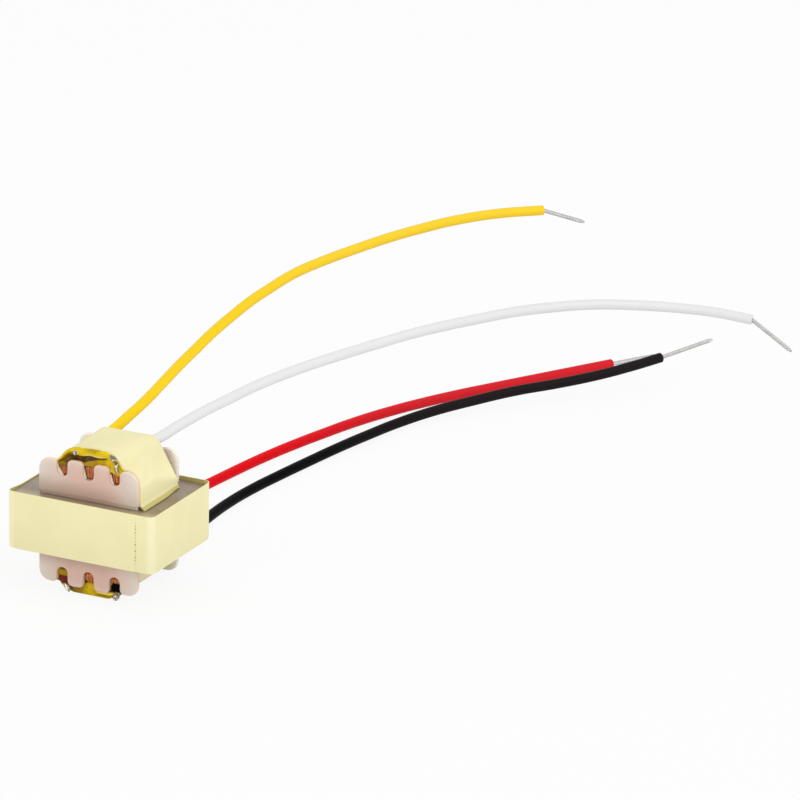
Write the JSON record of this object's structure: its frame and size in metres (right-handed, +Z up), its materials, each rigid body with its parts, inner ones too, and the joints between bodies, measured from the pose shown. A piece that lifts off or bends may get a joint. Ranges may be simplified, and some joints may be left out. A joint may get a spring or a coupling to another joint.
{
  "type": "audio transformer",
  "caption": "Miniature audio transformer: laminated core in a tape band, slotted nylon bobbin, taped winding and insulated hook-up leads with tinned bare ends.",
  "frame": {"origin": "on the resting face, under the middle of the core", "axes": "+X along the long side of the core, +Y from the front to the side where the leads leave, +Z up along the lamination stack"},
  "size_m": [0.0442, 0.0865, 0.0141],
  "materials": {
    "core_steel": "bare stamped sheet",
    "bobbin_nylon": "translucent moulded nylon",
    "copper": "enamelled copper wire",
    "film": "glossy amber film",
    "tape": "satin pale yellow tape",
    "solder": "tinned wire and solder",
    "yellow_insulation": "smooth extruded",
    "white_insulation": "smooth extruded",
    "red_insulation": "smooth extruded",
    "black_insulation": "smooth extruded"
  },
  "bodies": {
    "root": {"bobbin": "bobbin_nylon", "e_lamination_01": "core_steel", "e_lamination_02": "core_steel", "e_lamination_03": "core_steel", "e_lamination_04": "core_steel", "e_lamination_05": "core_steel", "e_lamination_06": "core_steel", "e_lamination_07": "core_steel", "e_lamination_08": "core_steel", "e_lamination_09": "core_steel", "e_lamination_10": "core_steel", "e_lamination_11": "core_steel", "e_lamination_12": "core_steel", "e_lamination_13": "core_steel", "i_lamination_01": "core_steel", "i_lamination_02": "core_steel", "i_lamination_03": "core_steel", "i_lamination_04": "core_steel", "i_lamination_05": "core_steel", "i_lamination_06": "core_steel", "i_lamination_07": "core_steel", "i_lamination_08": "core_steel", "i_lamination_09": "core_steel", "i_lamination_10": "core_steel", "i_lamination_11": "core_steel", "i_lamination_12": "core_steel", "i_lamination_13": "core_steel", "primary_winding": "copper", "interlayer_tape": "film", "secondary_winding": "copper", "winding_film": "film", "winding_wrap": "tape", "core_band": "tape", "upper_left_tail": "copper", "upper_middle_tail": "copper", "upper_right_tail": "copper", "lower_left_tail": "copper", "lower_middle_tail": "copper", "lower_right_tail": "copper", "yellow_joint": "solder", "white_joint": "solder", "red_joint": "solder", "black_joint": "solder", "upper_splice": "solder", "lower_splice": "solder", "yellow_lead": "yellow_insulation", "white_lead": "white_insulation", "red_lead": "red_insulation", "black_lead": "black_insulation", "yellow_tinned_end": "solder", "white_tinned_end": "solder", "red_tinned_end": "solder", "black_tinned_end": "solder"}
  },
  "joints": []
}
